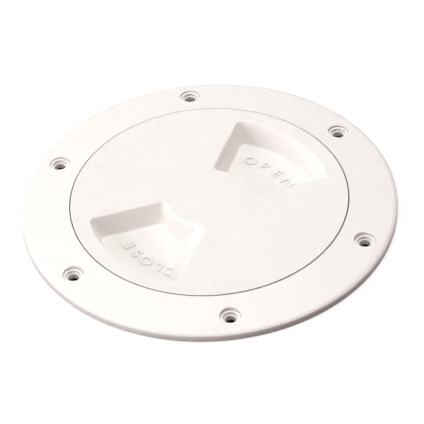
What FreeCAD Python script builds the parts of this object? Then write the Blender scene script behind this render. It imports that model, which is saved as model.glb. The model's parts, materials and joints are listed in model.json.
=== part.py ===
import FreeCAD, Part
import math
import os

os.makedirs("parts", exist_ok=True)

# A deck inspection plate: a round ring that is screwed down over a cut-out in a deck, and a
# flush lid that screws into the ring on a coarse thread and closes on a rubber seal.
# Sizes are in millimetres and angles in degrees. The origin is on the axis, in the plane of the
# flange's underside. +Z points up out of the deck. +X runs along the middle of the recess whose
# deep wall is pushed to open the lid, and the recess on the -X side closes it.

# Flange of the ring: its top starts a little below the lid's face, falls away outwards, and falls
# faster over a rounded shoulder before the edge of its upright rim
seat_radius = 53.2
flange_width = 18.3
face_height = 5.7
lid_stands_proud = 0.2
flange_fall = 7.1
shoulder_width = 0.8
shoulder_fall = 40.0
shoulder_rounding = 2.6
rim_edge_rounding = 0.2
seam_rounding = 0.2
underside_chamfer = 0.3

# Seat and threaded collar of the ring
ledge_width = 1.7
ledge_height = 0.3
collar_wall = 3.5
collar_depth = 13.5
end_chamfer = 0.6

# Screw holes through the flange, each with a two-stepped seat for the screw's head. The steps are
# level, and their depths are from the flange's sloping top at the hole's middle.
screw_count = 6
screw_inset = 8.5
screw_turn = -6.9
screw_hole_radius = 2.15
head_ledge_radius = 4.0
head_ledge_depth = 0.95
head_seat_radius = 2.8
head_seat_depth = 1.9
head_seat_dish = 0.2

# Lid: a flat web with a rim that drops into the seat, and a skirt that carries the thread
seam_gap = 0.35
lid_edge_rounding = 0.25
lid_web = 3.0
neck_drop = 0.5
skirt_wall = 2.4
skirt_rise = 1.7
inner_rounding = 1.0

# Rubber seal, lying round the lid's neck between the lid's rim and the ledge
seal_cord = 2.2
seal_side_clearance = 0.3
seal_face_clearance = 0.1

# Coarse right-handed thread: one ridge inside the collar and one outside the skirt
thread_pitch = 5.0
thread_height = 1.4
thread_crest = 1.1
thread_flank = 20.0
thread_clearance = 0.5
thread_margin = 0.6
thread_runout = 18.0
thread_root_overlap = 0.3

# Finger recesses: a deep wall to push on, a flat floor, and a ramp up at the other end
recess_land = 6.5
recess_inner_radius = 16.4
recess_depth = 8.6
recess_half_angle = 27.0
recess_deep_offset = 4.0
recess_ramp_offset = 4.0
recess_deep_draft = 16.0
recess_ramp_slope = 49.0
recess_outer_draft = 21.0
recess_inner_draft = 7.0
recess_corner_rounding = 2.2
recess_floor_rounding = 0.6
recess_mouth_rounding = 0.7
recess_ramp_rounding = 2.5
recess_shell = 2.2

# Radii and heights that follow from the sizes above
flange_radius = seat_radius + flange_width
shoulder_radius = flange_radius - shoulder_width
shoulder_drop = (flange_width - shoulder_width) * math.tan(math.radians(flange_fall))
flange_top = face_height - lid_stands_proud
shoulder_height = flange_top - shoulder_drop
rim_height = shoulder_height - shoulder_width * math.tan(math.radians(shoulder_fall))
bore_radius = seat_radius - ledge_width
collar_radius = bore_radius + collar_wall
screw_circle_radius = flange_radius - screw_inset
lid_radius = seat_radius - seam_gap
rim_underside = ledge_height + seal_cord + 2 * seal_face_clearance
seal_outer_radius = seat_radius - seal_side_clearance
neck_radius = seal_outer_radius - seal_cord - seal_side_clearance
neck_bottom = ledge_height - neck_drop
ridge_radius = bore_radius - thread_height
lid_ridge_radius = bore_radius - thread_clearance
skirt_radius = ridge_radius - thread_clearance
skirt_inner_radius = skirt_radius - skirt_wall
skirt_bottom = skirt_rise - collar_depth
web_underside = face_height - lid_web
recess_floor = face_height - recess_depth
recess_outer_radius = lid_radius - recess_land
thread_foot = thread_crest + 2 * thread_height * math.tan(math.radians(thread_flank))

# Cutting tools run past the faces that they open by this much
overrun = 1.0
closeness = 1e-6
origin = FreeCAD.Vector(0, 0, 0)
across = FreeCAD.Vector(1, 0, 0)
up = FreeCAD.Vector(0, 0, 1)


def polar(radius, angle, height=0.0):
    return FreeCAD.Vector(radius * math.cos(angle), radius * math.sin(angle), height)


def loop(corners):
    return Part.makePolygon(corners + corners[:1])


def rounded_loop(corners):
    """A closed wire in the XZ plane through corners given as (radius, height, rounding)."""
    points = [FreeCAD.Vector(radius, 0, height) for radius, height, rounding in corners]
    edges = []
    ends = []
    for i, (radius, height, rounding) in enumerate(corners):
        here = points[i]
        back = (points[i - 1] - here).normalize()
        ahead = (points[(i + 1) % len(points)] - here).normalize()
        half = back.getAngle(ahead) / 2
        start = here + back * (rounding / math.tan(half))
        end = here + ahead * (rounding / math.tan(half))
        ends.append((start, end))
        if rounding > 0:
            inward = (back + ahead).normalize()
            middle = here + inward * (rounding / math.sin(half) - rounding)
            edges.append(Part.Arc(start, middle, end).toShape())
    for i, (start, end) in enumerate(ends):
        edges.append(Part.LineSegment(end, ends[(i + 1) % len(ends)][0]).toShape())
    return Part.Wire(Part.__sortEdges__(edges))


def turned(corners):
    """The solid that a profile of (radius, height, rounding) corners makes round the axis."""
    return Part.Face(rounded_loop(corners)).revolve(origin, up, 360)


def between(low, high):
    """The flat-faced solid between two level polygons whose sides run parallel."""
    loops = [low, high]
    for i in range(len(low)):
        j = (i + 1) % len(low)
        loops.append([low[i], low[j], high[j], high[i]])
    return Part.Solid(Part.Shell([Part.Face(loop(corners)) for corners in loops]))


def thread_ridge(wall_radius, crest_radius, low, high):
    """A helical ridge on a round wall, its middle climbing from low to high, starting at +X."""
    outward = 1 if crest_radius > wall_radius else -1
    foot_radius = wall_radius - outward * thread_root_overlap
    foot = thread_foot / 2 + thread_root_overlap * math.tan(math.radians(thread_flank))
    crest = thread_crest / 2
    corners = [
        FreeCAD.Vector(foot_radius, 0, low - foot),
        FreeCAD.Vector(crest_radius, 0, low - crest),
        FreeCAD.Vector(crest_radius, 0, low + crest),
        FreeCAD.Vector(foot_radius, 0, low + foot),
    ]
    path = Part.makeHelix(thread_pitch, high - low, wall_radius)
    path.translate(up * low)
    ridge = Part.Wire(path.Edges).makePipeShell([loop(corners)], True, True)
    # Each end is shaved along a chord, so that the ridge grows out of the wall
    runout = math.radians(thread_runout)
    last = 2 * math.pi * (high - low) / thread_pitch
    beyond = crest_radius + outward * thread_height
    behind = foot_radius - outward * thread_root_overlap
    for end, way, height in ((0, 1, low), (last, -1, high)):
        corners = [polar(wall_radius, end), polar(crest_radius, end + way * runout)]
        corners += [polar(beyond, end + way * runout * share) for share in (1, 0.5, 0, -0.5, -1)]
        corners.append(polar(behind, end - way * runout))
        block = Part.Face(loop(corners)).extrude(up * thread_pitch)
        block.translate(up * (height - thread_pitch / 2))
        ridge = ridge.cut(block)
    return ridge


def ring_thread_span():
    """The lowest and highest middle of the ridge inside the collar."""
    low = end_chamfer - collar_depth + thread_foot / 2
    high = neck_bottom - thread_margin - thread_foot / 2
    return low, high


def lid_thread_span():
    """The lowest and highest middle of the ridge outside the skirt."""
    low = skirt_bottom + end_chamfer + thread_foot / 2
    high = neck_bottom - neck_radius + skirt_radius - thread_foot / 2
    return low, high


def screw_cutter():
    """The space of one flange screw: its hole, and the seat that its head sinks into."""
    top = flange_top - (screw_circle_radius - seat_radius) * math.tan(math.radians(flange_fall))
    ledge = top - head_ledge_depth
    seat = top - head_seat_depth
    profile = [
        (0, -overrun, 0),
        (screw_hole_radius, -overrun, 0),
        (screw_hole_radius, seat - head_seat_dish, 0),
        (head_seat_radius, seat, 0),
        (head_seat_radius, ledge, 0),
        (head_ledge_radius, ledge, 0),
        (head_ledge_radius, top + overrun, 0),
        (0, top + overrun, 0),
    ]
    return turned(profile)


def screw_cutters():
    cutters = []
    for i in range(screw_count):
        cutter = screw_cutter()
        cutter.translate(across * screw_circle_radius)
        cutter.rotate(origin, up, screw_turn + i * 360 / screw_count)
        cutters.append(cutter)
    return cutters


def mounting_ring():
    """The flange and its threaded collar, moulded as one."""
    profile = [
        (bore_radius, end_chamfer - collar_depth, 0),
        (bore_radius, ledge_height, 0),
        (seat_radius, ledge_height, 0),
        (seat_radius, flange_top, seam_rounding),
        (shoulder_radius, shoulder_height, shoulder_rounding),
        (flange_radius, rim_height, rim_edge_rounding),
        (flange_radius, underside_chamfer, 0),
        (flange_radius - underside_chamfer, 0, 0),
        (collar_radius, 0, 0),
        (collar_radius, end_chamfer - collar_depth, 0),
        (collar_radius - end_chamfer, -collar_depth, 0),
        (bore_radius + end_chamfer, -collar_depth, 0),
    ]
    ridge = thread_ridge(bore_radius, ridge_radius, *ring_thread_span())
    return turned(profile).fuse(ridge).cut(screw_cutters())


def recess_space(grow, floor, top):
    """The space of the +X recess from floor to top, with its walls moved out by grow."""

    def drawn_in(draft, height):
        return (face_height - height) * math.tan(math.radians(draft))

    def corners(height):
        deep = recess_deep_offset + grow - drawn_in(recess_deep_draft, height)
        ramp = recess_ramp_offset + grow - drawn_in(90 - recess_ramp_slope, height)
        slant = math.tan(math.radians(recess_half_angle))
        spread = 1 / math.cos(math.radians(recess_half_angle))
        near = recess_inner_radius / 2
        far = recess_outer_radius + recess_land
        return [
            FreeCAD.Vector(near, -ramp * spread - near * slant, height),
            FreeCAD.Vector(far, -ramp * spread - far * slant, height),
            FreeCAD.Vector(far, deep * spread + far * slant, height),
            FreeCAD.Vector(near, deep * spread + near * slant, height),
        ]

    def outer(height):
        return recess_outer_radius + grow - drawn_in(recess_outer_draft, height)

    def inner(height):
        return recess_inner_radius - grow + drawn_in(recess_inner_draft, height)

    base = up * floor
    outer_cone = Part.makeCone(outer(floor), outer(top), top - floor, base)
    inner_cone = Part.makeCone(inner(floor), inner(top), top - floor, base)
    # The seam of each cone is turned to the far side of the lid
    outer_cone.rotate(origin, up, 180)
    inner_cone.rotate(origin, up, 180)
    space = outer_cone.cut(inner_cone).common(between(corners(floor), corners(top)))
    uprights = [e for e in space.Edges if abs(e.Vertexes[0].Z - e.Vertexes[-1].Z) > closeness]
    space = space.makeFillet(recess_corner_rounding + grow, uprights)
    feet = [e for e in space.Edges if all(abs(v.Z - floor) < closeness for v in e.Vertexes)]
    return space.makeFillet(recess_floor_rounding + grow, feet)


def both_sides(solid):
    return [solid, solid.mirror(origin, across)]


def soften_mouths(body):
    """Round the recesses' top edges, more gently along the ramps and blending at their corners."""
    mouths = []
    for number, edge in enumerate(body.Edges, 1):
        level = all(abs(v.Z - face_height) < closeness for v in edge.Vertexes)
        within = all(math.hypot(v.X, v.Y) < recess_outer_radius + overrun for v in edge.Vertexes)
        if level and within:
            mouths.append((number, edge))
    ramp_ends = []
    for number, edge in mouths:
        straight = isinstance(edge.Curve, (Part.Line, Part.LineSegment))
        if straight and edge.CenterOfMass.y < 0:
            ramp_ends.extend(v.Point for v in edge.Vertexes)

    def rounding_at(edge, parameter):
        point = edge.valueAt(parameter)
        on_ramp = min((point - end).Length for end in ramp_ends) < closeness
        return recess_ramp_rounding if on_ramp else recess_mouth_rounding

    document = FreeCAD.newDocument("mouths")
    plain = document.addObject("Part::Feature", "plain")
    plain.Shape = body
    soft = document.addObject("Part::Fillet", "soft")
    soft.Base = plain
    soft.Edges = [
        (number, rounding_at(edge, edge.FirstParameter), rounding_at(edge, edge.LastParameter))
        for number, edge in mouths
    ]
    document.recompute()
    rounded = soft.Shape.copy()
    FreeCAD.closeDocument(document.Name)
    return rounded


def screw_lid():
    """The lid: web, rim, neck, threaded skirt and the hanging shells of the finger recesses."""
    profile = [
        (0, face_height, 0),
        (lid_radius, face_height, lid_edge_rounding),
        (lid_radius, rim_underside + underside_chamfer, 0),
        (lid_radius - underside_chamfer, rim_underside, 0),
        (neck_radius, rim_underside, 0),
        (neck_radius, neck_bottom, 0),
        (skirt_radius, neck_bottom - neck_radius + skirt_radius, 0),
        (skirt_radius, skirt_bottom + end_chamfer, 0),
        (skirt_radius - end_chamfer, skirt_bottom, 0),
        (skirt_inner_radius, skirt_bottom, 0),
        (skirt_inner_radius, web_underside, inner_rounding),
        (0, web_underside, 0),
    ]
    shell = recess_space(recess_shell, recess_floor - recess_shell, face_height - lid_web / 2)
    space = recess_space(0, recess_floor, face_height + overrun)
    body = turned(profile).fuse(both_sides(shell)).cut(both_sides(space))
    body = soften_mouths(body)
    # The lid's ridge runs midway between the turns of the ring's ridge
    low, high = lid_thread_span()
    ridge = thread_ridge(skirt_radius, lid_ridge_radius, low, high)
    lead = low - ring_thread_span()[0] - thread_pitch / 2
    ridge.rotate(origin, up, 360 * lead / thread_pitch)
    return body.fuse(ridge)


def o_ring():
    """The rubber seal, a plain cord ring in the space under the lid's rim."""
    middle = seal_outer_radius - seal_cord / 2
    height = ledge_height + seal_face_clearance + seal_cord / 2
    return Part.makeTorus(middle, seal_cord / 2, up * height)


for name, shape in (
    ("mounting_ring", mounting_ring()),
    ("screw_lid", screw_lid()),
    ("o_ring", o_ring()),
):
    solid = Part.Solid(shape.Solids[0].Shells[0]) if len(shape.Solids) == 1 else shape
    solid.exportStep("parts/" + name + ".step")
    print(name, solid.isValid(), len(solid.Solids), round(solid.Volume / 1000, 2), "cm3")
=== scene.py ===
import json
import math

import bmesh
import bpy
from mathutils import Matrix, Vector


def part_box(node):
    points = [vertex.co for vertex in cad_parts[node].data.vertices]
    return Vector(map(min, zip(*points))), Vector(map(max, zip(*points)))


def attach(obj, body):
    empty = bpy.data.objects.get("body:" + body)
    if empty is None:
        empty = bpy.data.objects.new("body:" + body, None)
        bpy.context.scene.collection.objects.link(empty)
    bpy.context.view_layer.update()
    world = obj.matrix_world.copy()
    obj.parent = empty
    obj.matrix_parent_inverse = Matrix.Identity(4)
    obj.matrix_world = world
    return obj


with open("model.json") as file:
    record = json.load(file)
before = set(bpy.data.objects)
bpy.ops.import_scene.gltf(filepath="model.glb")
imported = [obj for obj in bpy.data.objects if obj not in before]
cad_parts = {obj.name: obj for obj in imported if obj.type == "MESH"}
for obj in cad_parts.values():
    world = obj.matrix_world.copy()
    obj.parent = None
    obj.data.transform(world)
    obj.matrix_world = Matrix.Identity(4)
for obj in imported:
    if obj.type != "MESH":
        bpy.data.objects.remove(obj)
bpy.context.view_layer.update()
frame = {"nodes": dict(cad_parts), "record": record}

# Camera. It looks down on the shut plate from its own left front, with the opening recess at the
# upper right and the closing one at the lower left, through a long lens.
PICTURE_SIDE = 424
LID_FACE = Vector((0, 0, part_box("screw_lid")[1].z))
CAMERA_AZIMUTH = math.radians(-131.5)
CAMERA_ELEVATION = math.radians(41.88)
CAMERA_DISTANCE = 0.9612
CAMERA_ROLL = math.radians(3.533)
FOCAL_LENGTH_PIXELS = 2531.5
LID_CENTRE_PIXEL = (208.55, 197.39)
PICTURE_CENTRE_PIXEL = (PICTURE_SIDE - 1) / 2
SENSOR_WIDTH = 36
NEAREST_SEEN = 0.05
FARTHEST_SEEN = 20


def direction(azimuth, elevation):
    """The unit vector towards an azimuth, anticlockwise from +X, and an elevation."""
    flat = math.cos(elevation)
    return Vector((flat * math.cos(azimuth), flat * math.sin(azimuth), math.sin(elevation)))


towards = direction(CAMERA_AZIMUTH, CAMERA_ELEVATION)
right = Vector((0, 0, 1)).cross(towards).normalized()
above = towards.cross(right)
roll = Matrix.Rotation(-CAMERA_ROLL, 3, towards)
# The lens is turned a little, so that the lid's centre falls where it does in the picture
shown = Vector(
    (
        (LID_CENTRE_PIXEL[0] - PICTURE_CENTRE_PIXEL) / FOCAL_LENGTH_PIXELS,
        (PICTURE_CENTRE_PIXEL - LID_CENTRE_PIXEL[1]) / FOCAL_LENGTH_PIXELS,
        -1,
    )
)
upright = Matrix((roll @ right, roll @ above, towards)).transposed()
aimed = upright @ shown.rotation_difference(Vector((0, 0, -1))).to_matrix()

camera = bpy.data.objects.new("camera", bpy.data.cameras.new("camera"))
bpy.context.scene.collection.objects.link(camera)
camera.matrix_world = Matrix.LocRotScale(
    LID_FACE + towards * CAMERA_DISTANCE, aimed.to_quaternion(), None
)
camera.data.sensor_width = SENSOR_WIDTH
camera.data.lens = FOCAL_LENGTH_PIXELS * SENSOR_WIDTH / PICTURE_SIDE
camera.data.clip_start = NEAREST_SEEN
camera.data.clip_end = FARTHEST_SEEN
bpy.context.scene.camera = camera

# Ring. The flange and the threaded collar under it, moulded in one piece from an opaque off-white
# polymer and screwed down to the deck through six stepped holes. The mould leaves a stipple on it,
# its colour and gloss drift very slightly, and painted shade darkens its seats and its seam.
PLASTIC_COLOUR = (0.935, 0.913, 0.9)
WARMER_PLASTIC = (0.925, 0.897, 0.88)
PLASTIC_GRAIN = 0.0009
GRIT_FINENESS = 2.7
DRIFT_STARTS = 0.35
DRIFT_FULL = 0.65
# Painted shade: a dark colour that the finish is taken towards where the surface is closed in, in
# narrow gaps and inner corners
PAINTED_SHADE_COLOUR = (0.3, 0.262, 0.255)
PAINTED_SHADE_REACH = 0.0008
OPENNESS_UNSHADED = 0.85
OPENNESS_FULLY_SHADED = 0.35
RAYS_PER_POINT = 8
RING_GRAIN_HEIGHT = 0.00034
RING_ROUGHNESS = (0.36, 0.46)
RING_PAINTED_SHADE = 1
RIM_ROUNDING = 0.0019
RIM_ROUNDING_FROM = 0.0685
RIM_ROUNDING_FULL = 0.0702


def node_group(name, kind, sockets):
    """A new node group, with the sockets that it is given and those that take its results."""
    tree = bpy.data.node_groups.new(name, kind)
    for socket_name, way, socket_kind, value in sockets:
        socket = tree.interface.new_socket(name=socket_name, in_out=way, socket_type=socket_kind)
        if value is not None:
            socket.default_value = value
    given = tree.nodes.new("NodeGroupInput")
    result = tree.nodes.new("NodeGroupOutput")
    return tree, given.outputs, result.inputs


def made(tree, kind, feeds, **settings):
    """A new node with its settings, and a constant or another node's socket fed to each input."""
    node = tree.nodes.new(kind)
    for setting, value in settings.items():
        setattr(node, setting, value)
    for socket, value in feeds.items():
        if isinstance(value, bpy.types.NodeSocket):
            tree.links.new(value, node.inputs[socket])
        else:
            node.inputs[socket].default_value = value
    return node


def maths(tree, operation, *values):
    """The result of a Math node on numbers or sockets."""
    return made(tree, "ShaderNodeMath", dict(enumerate(values)), operation=operation).outputs[0]


def levelled(tree, vector):
    """A vector with its height taken out."""
    feeds = {0: vector, 1: (1, 1, 0)}
    return made(tree, "ShaderNodeVectorMath", feeds, operation="MULTIPLY").outputs["Vector"]


def share_of_way(tree, value, start, end):
    """How far a value has come from the start to the end, from 0 to 1."""
    feeds = {"Value": value, "From Min": start, "From Max": end}
    return made(tree, "ShaderNodeMapRange", feeds).outputs[0]


def mix(tree, kind, share, first, second):
    """The first number or colour, taken towards the second by a share."""
    feeds = {"Factor": share, "A": first, "B": second}
    return made(tree, "ShaderNodeMix", feeds, data_type=kind).outputs["Result"]


def noise(tree, rate, detail, roughness=0.5):
    """A noise on the piece's own coordinates, with so many features to the metre."""
    place = tree.nodes.new("ShaderNodeTexCoord").outputs["Object"]
    feeds = {"Vector": place, "Scale": rate, "Detail": detail, "Roughness": roughness}
    return made(tree, "ShaderNodeTexNoise", feeds).outputs["Fac"]


def stipple_group():
    """Raised grains of one size over a finer grit, as an etched mould gives them."""
    tree, given, result = node_group(
        "mould_stipple",
        "ShaderNodeTree",
        (
            ("Grain Size", "INPUT", "NodeSocketFloat", 0.0006),
            ("Grit Share", "INPUT", "NodeSocketFloat", 0.4),
            ("Height", "OUTPUT", "NodeSocketFloat", None),
        ),
    )
    rate = maths(tree, "DIVIDE", 1, given["Grain Size"])
    grains = noise(tree, rate, detail=1)
    grit = noise(tree, maths(tree, "MULTIPLY", rate, GRIT_FINENESS), detail=0)
    tree.links.new(mix(tree, "FLOAT", given["Grit Share"], grains, grit), result["Height"])
    return tree


def drift_group():
    """A colour and a roughness that wander a little over patches of the surface, as resin flows."""
    tree, given, result = node_group(
        "resin_drift",
        "ShaderNodeTree",
        (
            ("Colour", "INPUT", "NodeSocketColor", (*PLASTIC_COLOUR, 1)),
            ("Drift Colour", "INPUT", "NodeSocketColor", (*WARMER_PLASTIC, 1)),
            ("Patch Size", "INPUT", "NodeSocketFloat", 0.012),
            ("Glossy Roughness", "INPUT", "NodeSocketFloat", 0.35),
            ("Dull Roughness", "INPUT", "NodeSocketFloat", 0.5),
            ("Colour", "OUTPUT", "NodeSocketColor", None),
            ("Roughness", "OUTPUT", "NodeSocketFloat", None),
        ),
    )
    rate = maths(tree, "DIVIDE", 1, given["Patch Size"])
    clouds = noise(tree, rate, detail=5, roughness=0.6)
    patches = share_of_way(tree, clouds, DRIFT_STARTS, DRIFT_FULL)
    tinted = mix(tree, "RGBA", patches, given["Colour"], given["Drift Colour"])
    dulled = mix(tree, "FLOAT", patches, given["Glossy Roughness"], given["Dull Roughness"])
    tree.links.new(tinted, result["Colour"])
    tree.links.new(dulled, result["Roughness"])
    return tree


def painted_shade_group():
    """A colour that darkens in narrow gaps and inner corners, as painted shade."""
    tree, given, result = node_group(
        "crevice_painted_shade",
        "ShaderNodeTree",
        (
            ("Colour", "INPUT", "NodeSocketColor", (*PLASTIC_COLOUR, 1)),
            ("Painted Shade Colour", "INPUT", "NodeSocketColor", (*PAINTED_SHADE_COLOUR, 1)),
            ("Reach", "INPUT", "NodeSocketFloat", PAINTED_SHADE_REACH),
            ("Amount", "INPUT", "NodeSocketFloat", 0.5),
            ("Colour", "OUTPUT", "NodeSocketColor", None),
        ),
    )
    reach = {"Distance": given["Reach"]}
    nearby = made(tree, "ShaderNodeAmbientOcclusion", reach, samples=RAYS_PER_POINT)
    openness = nearby.outputs["AO"]
    closed_in = share_of_way(tree, openness, OPENNESS_UNSHADED, OPENNESS_FULLY_SHADED)
    share = maths(tree, "MULTIPLY", closed_in, given["Amount"])
    # Painted shade: the colour darkens as ambient occlusion finds the surface closed in
    shaded = mix(tree, "RGBA", share, given["Colour"], given["Painted Shade Colour"])
    tree.links.new(shaded, result["Colour"])
    return tree


def soft_rim_group():
    """A normal that turns softly over the ring's outer edge, so that it looks fully rounded."""
    tree, given, result = node_group(
        "soft_rim",
        "ShaderNodeTree",
        (
            ("Starts At", "INPUT", "NodeSocketFloat", RIM_ROUNDING_FROM),
            ("Full At", "INPUT", "NodeSocketFloat", RIM_ROUNDING_FULL),
            ("Rounding", "INPUT", "NodeSocketFloat", RIM_ROUNDING),
            ("Normal", "OUTPUT", "NodeSocketVector", None),
        ),
    )
    place = tree.nodes.new("ShaderNodeTexCoord").outputs["Object"]
    flat = {0: levelled(tree, place)}
    off_axis = made(tree, "ShaderNodeVectorMath", flat, operation="LENGTH").outputs["Value"]
    share = share_of_way(tree, off_axis, given["Starts At"], given["Full At"])
    reach = maths(tree, "MULTIPLY", share, given["Rounding"])
    softened = made(tree, "ShaderNodeBevel", {"Radius": reach}, samples=RAYS_PER_POINT)
    tree.links.new(softened.outputs["Normal"], result["Normal"])
    return tree


def moulded(name, colour, drift_colour, grain_size, grain_height, roughness, shade_share):
    """A moulded finish: its two colours, its grain, its two roughnesses and its share of painted shade.
    """
    material = bpy.data.materials.new(name)
    material.use_nodes = True
    tree = material.node_tree
    drift = made(
        tree,
        "ShaderNodeGroup",
        {
            "Colour": (*colour, 1),
            "Drift Colour": (*drift_colour, 1),
            "Glossy Roughness": roughness[0],
            "Dull Roughness": roughness[1],
        },
        node_tree=DRIFT,
    )
    # Painted shade is mixed into the base colour by the share given
    shade_feeds = {"Colour": drift.outputs["Colour"], "Amount": shade_share}
    shade_node = made(tree, "ShaderNodeGroup", shade_feeds, node_tree=PAINTED_SHADE)
    stipple = made(tree, "ShaderNodeGroup", {"Grain Size": grain_size}, node_tree=STIPPLE)
    relief = {"Strength": 1, "Distance": grain_height, "Height": stipple.outputs["Height"]}
    bump = made(tree, "ShaderNodeBump", relief)
    surface = tree.nodes["Principled BSDF"]
    tree.links.new(shade_node.outputs["Colour"], surface.inputs["Base Color"])
    tree.links.new(drift.outputs["Roughness"], surface.inputs["Roughness"])
    tree.links.new(bump.outputs["Normal"], surface.inputs["Normal"])
    return material


def wear(node, material):
    """Give a carried-over node its finish."""
    for place in frame["nodes"][node].material_slots:
        place.material = material


STIPPLE = stipple_group()
DRIFT = drift_group()
PAINTED_SHADE = painted_shade_group()
RING_PLASTIC = moulded(
    "ring_plastic",
    PLASTIC_COLOUR,
    WARMER_PLASTIC,
    PLASTIC_GRAIN,
    RING_GRAIN_HEIGHT,
    RING_ROUGHNESS,
    RING_PAINTED_SHADE,
)
ring_nodes = RING_PLASTIC.node_tree.nodes
soft_rim = made(RING_PLASTIC.node_tree, "ShaderNodeGroup", {}, node_tree=soft_rim_group())
RING_PLASTIC.node_tree.links.new(soft_rim.outputs["Normal"], ring_nodes["Bump"].inputs["Normal"])
wear("mounting_ring", RING_PLASTIC)

# Lid. A flat disc over a threaded skirt, with two wedge-shaped finger recesses, moulded in one piece
# from the same polymer and screwed into the ring by hand. Its stipple is deeper and duller than the
# ring's, and it is given less painted shade in its hollows and seam.
LID_GRAIN_HEIGHT = 0.0005
LID_ROUGHNESS = (0.46, 0.56)
LID_PAINTED_SHADE = 0.7
LID_PLASTIC = moulded(
    "lid_plastic",
    PLASTIC_COLOUR,
    WARMER_PLASTIC,
    PLASTIC_GRAIN,
    LID_GRAIN_HEIGHT,
    LID_ROUGHNESS,
    LID_PAINTED_SHADE,
)
wear("screw_lid", LID_PLASTIC)

# Seal. A black rubber ring of round section, moulded in one piece, that lies loose round the lid's
# neck. Its skin is matt and finely pitted, with a faint grey bloom in patches.
RUBBER_COLOUR = (0.018, 0.018, 0.018)
BLOOM_COLOUR = (0.034, 0.033, 0.032)
RUBBER_GRAIN = 0.0003
RUBBER_GRAIN_HEIGHT = 0.00002
RUBBER_ROUGHNESS = (0.5, 0.68)
RUBBER_PAINTED_SHADE = 0
RUBBER = moulded(
    "seal_rubber",
    RUBBER_COLOUR,
    BLOOM_COLOUR,
    RUBBER_GRAIN,
    RUBBER_GRAIN_HEIGHT,
    RUBBER_ROUGHNESS,
    RUBBER_PAINTED_SHADE,
)
wear("o_ring", RUBBER)

# Words. OPEN and CLOSE stand on the flat floors of the two finger recesses, as plain raised letters
# moulded with the lid. Their letters are spaced evenly on an arc about the lid's axis, tops outward.
LETTER_HEIGHT = 0.0042
LETTER_STRETCH = 1.15
LETTER_RAISE = 0.0004
LETTER_ROOT = 0.0001
LETTER_SWELL = 0.00018
LETTER_ROUNDING = 0.0001
ROUNDING_STEPS = 2
SHARPEST_CORNER_LEFT = math.radians(50)
SAME_POINT = 0.000001
# A capital's height in the built-in typeface, as a share of the size that the text is set to
CAPITAL_SHARE_OF_SIZE = 0.729
WORD_RADIUS = 0.0343
RECESS_FLOOR = -0.0029


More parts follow.
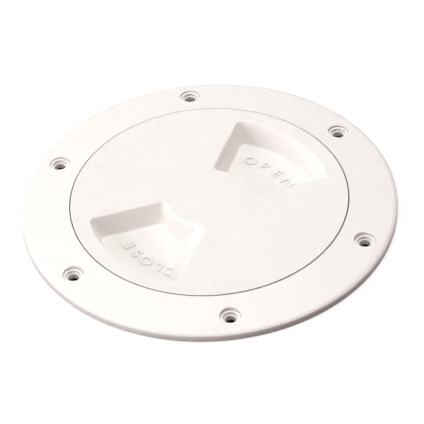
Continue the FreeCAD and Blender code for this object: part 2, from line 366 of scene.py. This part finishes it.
def arc_word_tree():
    """A word whose letters stand evenly round an arc, each turned to it and raised off the floor."""
    tree, given, result = node_group(
        "arc_word",
        "GeometryNodeTree",
        (
            ("Word", "INPUT", "NodeSocketString", ""),
            ("Letter Size", "INPUT", "NodeSocketFloat", 0.006),
            ("Stretch", "INPUT", "NodeSocketFloat", 1.0),
            ("Arc Radius", "INPUT", "NodeSocketFloat", 0.03),
            ("First Letter Angle", "INPUT", "NodeSocketFloat", 0.0),
            ("Angle Between Letters", "INPUT", "NodeSocketFloat", 0.2),
            ("Foot Height", "INPUT", "NodeSocketFloat", 0.0),
            ("Letter Depth", "INPUT", "NodeSocketFloat", 0.0005),
            ("Swell", "INPUT", "NodeSocketFloat", 0.0001),
            ("Plastic", "INPUT", "NodeSocketMaterial", None),
            ("Letters", "OUTPUT", "NodeSocketGeometry", None),
        ),
    )

    def vector(**parts):
        return made(tree, "ShaderNodeCombineXYZ", parts).outputs[0]

    def shaped(kind, socket, geometry, **feeds):
        return made(tree, kind, {socket: geometry, **feeds}).outputs[0]

    text = made(
        tree,
        "GeometryNodeStringToCurves",
        {"String": given["Word"], "Size": given["Letter Size"]},
        font=bpy.data.fonts.load("<builtin>"),
        pivot_mode="MIDPOINT",
    )
    # Each letter's angle falls by one step, so the word reads clockwise
    number = tree.nodes.new("GeometryNodeInputIndex").outputs[0]
    turned = maths(tree, "MULTIPLY", number, given["Angle Between Letters"])
    angle = maths(tree, "SUBTRACT", given["First Letter Angle"], turned)
    spot = vector(
        X=maths(tree, "MULTIPLY", maths(tree, "COSINE", angle), given["Arc Radius"]),
        Y=maths(tree, "MULTIPLY", maths(tree, "SINE", angle), given["Arc Radius"]),
    )
    facing = vector(Z=maths(tree, "SUBTRACT", angle, math.pi / 2))
    widths = vector(X=given["Stretch"], Y=1, Z=1)
    pivot = {0: text.outputs["Pivot Point"], "Scale": -1}
    back = made(tree, "ShaderNodeVectorMath", pivot, operation="SCALE").outputs["Vector"]
    letters = text.outputs["Curve Instances"]
    letters = shaped("GeometryNodeSetPosition", "Geometry", letters, Position=spot)
    letters = shaped("GeometryNodeRotateInstances", "Instances", letters, Rotation=facing)
    letters = shaped("GeometryNodeScaleInstances", "Instances", letters, Scale=widths)
    letters = shaped("GeometryNodeTranslateInstances", "Instances", letters, Translation=back)
    outlines = shaped("GeometryNodeRealizeInstances", "Geometry", letters)

    # The flat letters are filled, raised, and closed underneath by a turned-over copy
    filled = shaped("GeometryNodeFillCurve", "Curve", outlines)
    raising = {"Mesh": filled, "Offset Scale": given["Letter Depth"], "Individual": False}
    raised = made(tree, "GeometryNodeExtrudeMesh", raising, mode="FACES").outputs["Mesh"]
    both = made(tree, "GeometryNodeJoinGeometry", {"Geometry": raised})
    under = shaped("GeometryNodeFlipFaces", "Mesh", filled)
    tree.links.new(under, both.inputs["Geometry"])
    closed = shaped(
        "GeometryNodeMergeByDistance", "Geometry", both.outputs[0], Distance=SAME_POINT
    )
    # The strokes are thickened by moving their sides outwards
    sideways = {0: levelled(tree, tree.nodes.new("GeometryNodeInputNormal").outputs[0])}
    unit = made(tree, "ShaderNodeVectorMath", sideways, operation="NORMALIZE").outputs["Vector"]
    swollen = {0: unit, "Scale": given["Swell"]}
    outward = made(tree, "ShaderNodeVectorMath", swollen, operation="SCALE").outputs["Vector"]
    bolder = shaped("GeometryNodeSetPosition", "Geometry", closed, Offset=outward)
    # Filling an outline lays it flat at no height, so the letters are lowered to the floor last
    foot = vector(Z=given["Foot Height"])
    seated = shaped("GeometryNodeTransform", "Geometry", bolder, Translation=foot)
    real = shaped("GeometryNodeRealizeInstances", "Geometry", seated)
    coated = shaped("GeometryNodeSetMaterial", "Geometry", real, Material=given["Plastic"])
    tree.links.new(coated, result["Letters"])
    return tree


def mould_word(name, word, first, last):
    """One raised word on its arc, from its first letter's angle in degrees to its last one's."""
    host = bpy.data.objects.new(name, bpy.data.meshes.new(name))
    bpy.context.scene.collection.objects.link(host)
    maker = host.modifiers.new("letters", "NODES")
    maker.node_group = ARC_WORD
    sizes = {
        "Word": word,
        "Letter Size": LETTER_HEIGHT / CAPITAL_SHARE_OF_SIZE,
        "Stretch": LETTER_STRETCH,
        "Arc Radius": WORD_RADIUS,
        "First Letter Angle": math.radians(first),
        "Angle Between Letters": math.radians(first - last) / (len(word) - 1),
        "Foot Height": RECESS_FLOOR - LETTER_ROOT,
        "Letter Depth": LETTER_RAISE + LETTER_ROOT,
        "Swell": LETTER_SWELL,
        "Plastic": LID_PLASTIC,
    }
    for item in ARC_WORD.interface.items_tree:
        if item.in_out == "INPUT":
            maker[item.identifier] = sizes[item.name]
    rounded = host.modifiers.new("rounding", "BEVEL")
    rounded.width = LETTER_ROUNDING
    rounded.segments = ROUNDING_STEPS
    rounded.limit_method = "ANGLE"
    rounded.angle_limit = SHARPEST_CORNER_LEFT
    built = host.evaluated_get(bpy.context.evaluated_depsgraph_get())
    finished = bpy.data.meshes.new_from_object(built)
    host.modifiers.clear()
    host.data = finished
    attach(host, "lid")


ARC_WORD = arc_word_tree()
mould_word("word_open", "OPEN", first=18.5, last=-14.8)
mould_word("word_close", "CLOSE", first=201, last=163.3)

# Floor. A plain pale board with a round cut-out that the collar hangs in, as in a deck, and a pilot
# hole under each screw hole. It looks white and keeps the plate's shadow, but throws little light back.
BOARD_TOP = -0.00002
BOARD_THICKNESS = 0.06
BOARD_WIDTH = 6
HOLE_DEPTH = 0.03
CUT_OUT_RADIUS = 0.057
CUT_OUT_SIDES = 128
PILOT_RADIUS = 0.0022
PILOT_SIDES = 32
PILOT_SURROUNDINGS = 1.5 * PILOT_RADIUS
LARGEST_PILOT_FACE = 0.001
SCREW_CIRCLE = frame["record"]["mounts"][0]["dims"]["pcd_mm"] / 2000
SCREWS = frame["record"]["mounts"][0]["dims"]["count"]
FIRST_SCREW = math.radians(-6.9)
BOARD_COLOUR = (0.32, 0.32, 0.32, 1)
BOARD_GLOW = (1, 0.985, 0.98, 1)
BOARD_GLOW_STRENGTH = 0.74
BOUNCE_COLOUR = (0.08, 0.08, 0.08, 1)
# Near black: painted shade for the pilot holes, seen through the screw holes
PILOT_SHADE_COLOUR = (0.03, 0.024, 0.023, 1)


def bore(board, name, radius, across, along, sides):
    """Sink a round hole with straight walls into the board from its top."""
    cutter = bmesh.new()
    bmesh.ops.create_cone(
        cutter,
        cap_ends=True,
        segments=sides,
        radius1=radius,
        radius2=radius,
        depth=2 * HOLE_DEPTH,
    )
    bmesh.ops.translate(cutter, verts=cutter.verts, vec=(across, along, BOARD_TOP))
    mesh = bpy.data.meshes.new(name)
    cutter.to_mesh(mesh)
    cutter.free()
    tool = bpy.data.objects.new(name, mesh)
    bpy.context.scene.collection.objects.link(tool)
    cut = board.modifiers.new("opening", "BOOLEAN")
    cut.object = tool
    cut.solver = "EXACT"
    built = board.evaluated_get(bpy.context.evaluated_depsgraph_get())
    bored = bpy.data.meshes.new_from_object(built)
    board.modifiers.clear()
    board.data = bored
    bpy.data.objects.remove(tool)


def seen_or_lighting(tree, lighting, seen, output):
    """One shader where the eye or a mirror meets it, and another for the light that it gives."""
    path = tree.nodes.new("ShaderNodeLightPath").outputs
    mirrored = maths(tree, "MAXIMUM", path["Is Camera Ray"], path["Is Glossy Ray"])
    looked_at = maths(tree, "MAXIMUM", mirrored, path["Is Transmission Ray"])
    either = made(tree, "ShaderNodeMixShader", {"Fac": looked_at, 1: lighting, 2: seen})
    tree.links.new(either.outputs[0], tree.nodes[output].inputs["Surface"])


block = bmesh.new()
bmesh.ops.create_cube(block, size=1)
bmesh.ops.scale(block, verts=block.verts, vec=(BOARD_WIDTH, BOARD_WIDTH, BOARD_THICKNESS))
bmesh.ops.translate(block, verts=block.verts, vec=(0, 0, BOARD_TOP - BOARD_THICKNESS / 2))
floor = bpy.data.objects.new("floor", bpy.data.meshes.new("floor"))
block.to_mesh(floor.data)
block.free()
bpy.context.scene.collection.objects.link(floor)
bore(floor, "cut_out", CUT_OUT_RADIUS, 0, 0, CUT_OUT_SIDES)
for number in range(SCREWS):
    around = FIRST_SCREW + number * 2 * math.pi / SCREWS
    across = SCREW_CIRCLE * math.cos(around)
    along = SCREW_CIRCLE * math.sin(around)
    bore(floor, "pilot", PILOT_RADIUS, across, along, PILOT_SIDES)
floor_material = bpy.data.materials.new("floor")
floor_material.use_nodes = True
paint = floor_material.node_tree
paint.nodes.remove(paint.nodes["Principled BSDF"])
bounced = made(paint, "ShaderNodeBsdfDiffuse", {"Color": BOUNCE_COLOUR}).outputs[0]
lit = made(paint, "ShaderNodeBsdfDiffuse", {"Color": BOARD_COLOUR}).outputs[0]
glowing = {"Color": BOARD_GLOW, "Strength": BOARD_GLOW_STRENGTH}
glow = made(paint, "ShaderNodeEmission", glowing).outputs[0]
pale = made(paint, "ShaderNodeAddShader", {0: lit, 1: glow}).outputs[0]
seen_or_lighting(paint, bounced, pale, "Material Output")
# The pilot holes' walls are painted near black as painted shade, since the holes are too narrow and
# deep for light to come back out of them
unlit = bpy.data.materials.new("pilot_hole_painted_shade")
unlit.use_nodes = True
unlit.node_tree.nodes["Principled BSDF"].inputs["Base Color"].default_value = PILOT_SHADE_COLOUR
unlit.node_tree.nodes["Principled BSDF"].inputs["Roughness"].default_value = 1
floor.data.materials.clear()
floor.data.materials.append(floor_material)
floor.data.materials.append(unlit)
for face in floor.data.polygons:
    off_circle = abs(math.hypot(face.center.x, face.center.y) - SCREW_CIRCLE)
    in_pilot = off_circle < PILOT_SURROUNDINGS and face.center.z < BOARD_TOP
    face.material_index = int(in_pilot and face.area < LARGEST_PILOT_FACE)

# Light. A soft window on the picture's left with a weaker panel in front of it, one behind the plate
# and one overhead, and a faint return from the right. The room is dim, but it looks pale to the eye.
LAMP_DISTANCE = 1.2
LAMP_WIDTH = 0.8
ROOM_COLOUR = (1, 0.3, 0.3, 1)
ROOM_STRENGTH = 0.1
PALE_COLOUR = (1, 0.98, 0.975, 1)
PALE_STRENGTH = 0.9


def softbox(name, azimuth, elevation, power, colour):
    """A square area lamp aimed at the plate. Its azimuth in degrees is from the picture's right."""
    lamp = bpy.data.lights.new(name, "AREA")
    lamp.size = LAMP_WIDTH
    lamp.energy = power
    lamp.color = colour
    placed = bpy.data.objects.new(name, lamp)
    bpy.context.scene.collection.objects.link(placed)
    turned = CAMERA_AZIMUTH + math.pi / 2 + math.radians(azimuth)
    way = direction(turned, math.radians(elevation))
    placed.matrix_world = Matrix.LocRotScale(
        way * LAMP_DISTANCE, way.to_track_quat("Z", "Y"), None
    )


softbox("window", azimuth=200, elevation=20, power=9.6, colour=(1, 1, 1))
softbox("front", azimuth=240, elevation=20, power=1.3, colour=(1, 0.93, 0.9))
softbox("rear", azimuth=90, elevation=42, power=2.5, colour=(0.94, 1, 0.97))
softbox("overhead", azimuth=90, elevation=86, power=9.9, colour=(0.925, 1, 0.975))
softbox("bounce", azimuth=0, elevation=30, power=2, colour=(1, 0.8, 0.81))
world = bpy.data.worlds.new("room")
bpy.context.scene.world = world
world.use_nodes = True
air = world.node_tree
dim = air.nodes["Background"]
dim.inputs["Color"].default_value = ROOM_COLOUR
dim.inputs["Strength"].default_value = ROOM_STRENGTH
backdrop = {"Color": PALE_COLOUR, "Strength": PALE_STRENGTH}
bright = made(air, "ShaderNodeBackground", backdrop).outputs[0]
seen_or_lighting(air, dim.outputs[0], bright, "World Output")
bpy.context.scene.view_settings.view_transform = "Standard"
